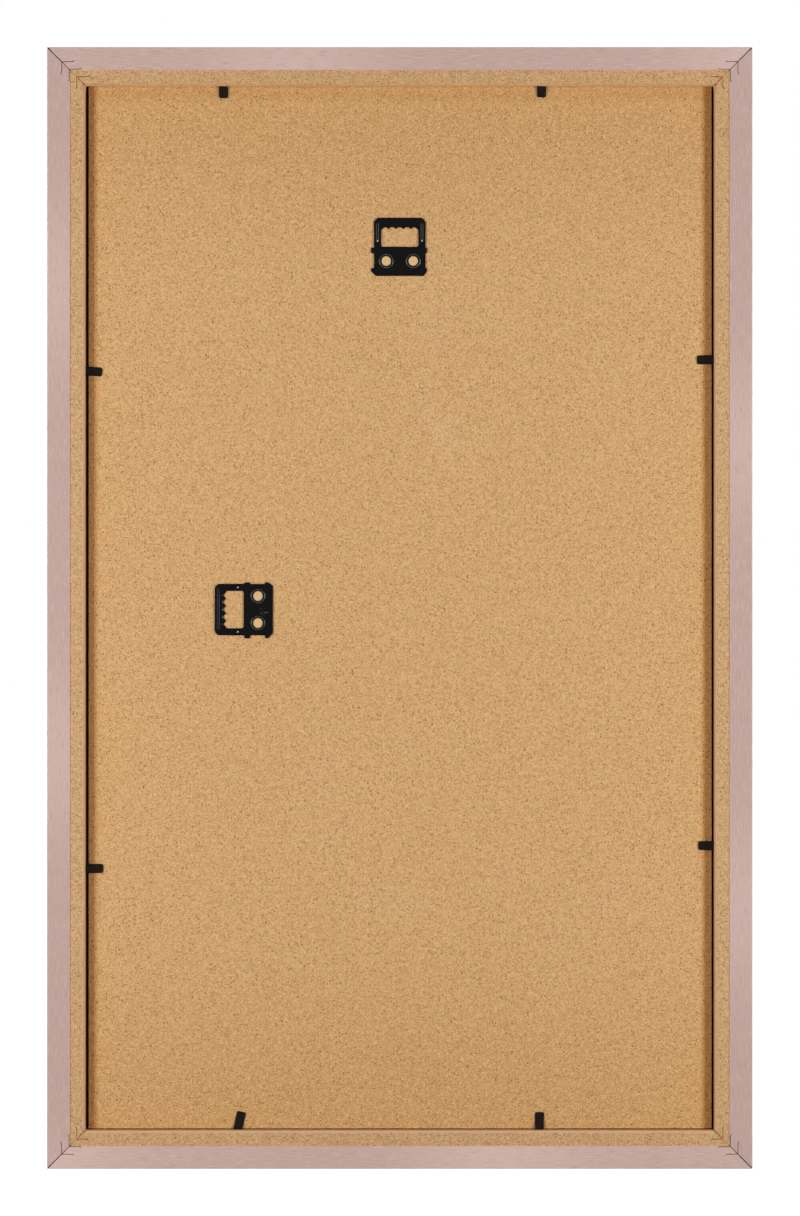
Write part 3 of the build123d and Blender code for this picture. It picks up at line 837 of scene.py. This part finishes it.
def easedBoard(form):
    low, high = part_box("backing_board")
    high = high + Vector((0, 0, form["push"] * mm))
    bm = bmesh.new()
    bmesh.ops.create_cube(bm, size=1.0)
    bmesh.ops.scale(bm, vec=high - low, verts=bm.verts)
    bmesh.ops.translate(bm, vec=(low + high) / 2, verts=bm.verts)
    eased = [edge for edge in bm.edges if any(vert.co.z < middle.z for vert in edge.verts)]
    roundEdges(bm, eased, form["ease"] * mm, form["easeSteps"])
    for place in hangerPlaces.values():
        for side in (-1, 1):
            spot = Vector((side * hanger["eyeletSide"], hanger["eyeletHeight"], 0)) * mm
            spot.z = (form["plugRise"] - form["plugSink"]) / 2 * mm
            bmesh.ops.create_cone(bm, cap_ends=True, segments=hanger["eyeletSegments"],
                                  radius1=form["plug"] * mm, radius2=form["plugTop"] * mm,
                                  depth=(form["plugRise"] + form["plugSink"]) * mm,
                                  matrix=place @ Matrix.Translation(spot))
    return bm


asPiece(easedBoard(boardForm), "board_eased", boardFinish, "backing", "backing_fibreboard", "backing_board")
print("board eased")


# stage: floor, world, lamps and camera, in metres and watts
stageLook = {
    "floorTone": (150, 150, 150), "floorRough": 0.9, "floorSize": 12.0, "floorGlow": 0.86,
    "glowRim": (0.4, 1.5), "floorBounce": 0.10, "ambient": 0.04,
    "lampSides": {"left": (-1.04, 14.4), "right": (0.978, 13.3)},
    "lampAway": 0.888, "lampRise": {"back": 0.09, "front": 0.16}, "lampShare": {"back": 1.0, "front": 0.88},
    "lampTurn": 0.8, "lampSize": (0.36, 0.72),
    "topHeight": 1.0, "topForward": 0.35, "topSize": (1.2, 1.2), "topPower": 9.0,
}


def seenRays(tree):  # 1 for what the camera, a gloss or a glass sees, 0 for light that falls on things
    path = tree.nodes.new("ShaderNodeLightPath")
    camera = Signal(tree, path.outputs["Is Camera Ray"])
    gloss = Signal(tree, path.outputs["Is Glossy Ray"])
    through = Signal(tree, path.outputs["Is Transmission Ray"])
    return camera.maths("MAXIMUM", camera, gloss.maths("MAXIMUM", gloss, through))


def makeFloor(look):
    bm = bmesh.new()
    bmesh.ops.create_grid(bm, x_segments=1, y_segments=1, size=look["floorSize"] / 2)
    bmesh.ops.translate(bm, vec=(0, 0, cadLow.z), verts=bm.verts)
    mesh = bpy.data.meshes.new("floor")
    bm.to_mesh(mesh)
    bm.free()
    finish, shader, place = newFinish("pale floor")
    level = drawnOut(place, (1, 1, 0))
    away = level.make("ShaderNodeVectorMath", {"operation": "LENGTH"}, {0: level}, "Value")
    glow = look["floorGlow"] + fade(away, *look["glowRim"]) * (1 - look["floorGlow"])
    seen = seenRays(place.tree)
    glow = seen * glow + (1 - seen) * look["floorBounce"]
    feed(shader, Base_Color=lightOf(look["floorTone"]), Roughness=look["floorRough"], Specular_IOR_Level=0.0,
         Emission_Color=tint(glow, (0, 0, 0, 1), (1, 1, 1, 1)), Emission_Strength=1.0)
    mesh.materials.append(finish)
    floor = bpy.data.objects.new("floor", mesh)
    bpy.context.scene.collection.objects.link(floor)


def makeWorld(look):
    world = bpy.data.worlds.new("white studio")
    bpy.context.scene.world = world
    world.use_nodes = True
    tree = world.node_tree
    seen = seenRays(tree)
    strength = look["ambient"] + seen * (1 - look["ambient"])
    tree.links.new(strength.socket, tree.nodes["Background"].inputs["Strength"])
    tree.nodes["Background"].inputs["Color"].default_value = (1, 1, 1, 1)


def makeLamp(name, spot, size, power, aim):
    lamp = bpy.data.lights.new(name, "AREA")
    lamp.shape = "RECTANGLE"
    lamp.size, lamp.size_y = size
    lamp.energy = power
    holder = bpy.data.objects.new(name, lamp)
    holder.location = spot
    holder.rotation_mode = "QUATERNION"
    holder.rotation_quaternion = (Vector(aim) - Vector(spot)).to_track_quat("-Z", "Y")
    holder.visible_camera = False
    bpy.context.scene.collection.objects.link(holder)


def makeLamps(look):  # the same pair of side lamps behind and in front, and one above
    for side, (across, power) in look["lampSides"].items():
        aim = (across * look["lampTurn"], middle.y, middle.z)
        for face, away in (("back", look["lampAway"]), ("front", cadLow.y - look["lampAway"])):
            spot = (across, away, middle.z + look["lampRise"][face])
            makeLamp(face + " lamp " + side, spot, look["lampSize"], power * look["lampShare"][face], aim)
    above = (0, middle.y - look["topForward"], cadHigh.z + look["topHeight"])
    makeLamp("top lamp", above, look["topSize"], look["topPower"], middle)


def makeCamera():
    lens = {"x": -0.00011, "z": middle.z - 0.00004, "away": 2.0, "imageHeight": 0.5842, "sensor": 36.0}
    data = bpy.data.cameras.new("camera")
    data.sensor_width = lens["sensor"]  # the picture is upright, so this is its height
    data.lens = lens["sensor"] * lens["away"] / lens["imageHeight"]
    holder = bpy.data.objects.new("camera", data)
    holder.location = (lens["x"], lens["away"], lens["z"])
    holder.rotation_euler = (math.pi / 2, 0, math.pi)
    bpy.context.scene.collection.objects.link(holder)
    bpy.context.scene.camera = holder


makeFloor(stageLook)
makeWorld(stageLook)
makeLamps(stageLook)
makeCamera()
bpy.context.scene.view_settings.view_transform = "Standard"
print("stage set")
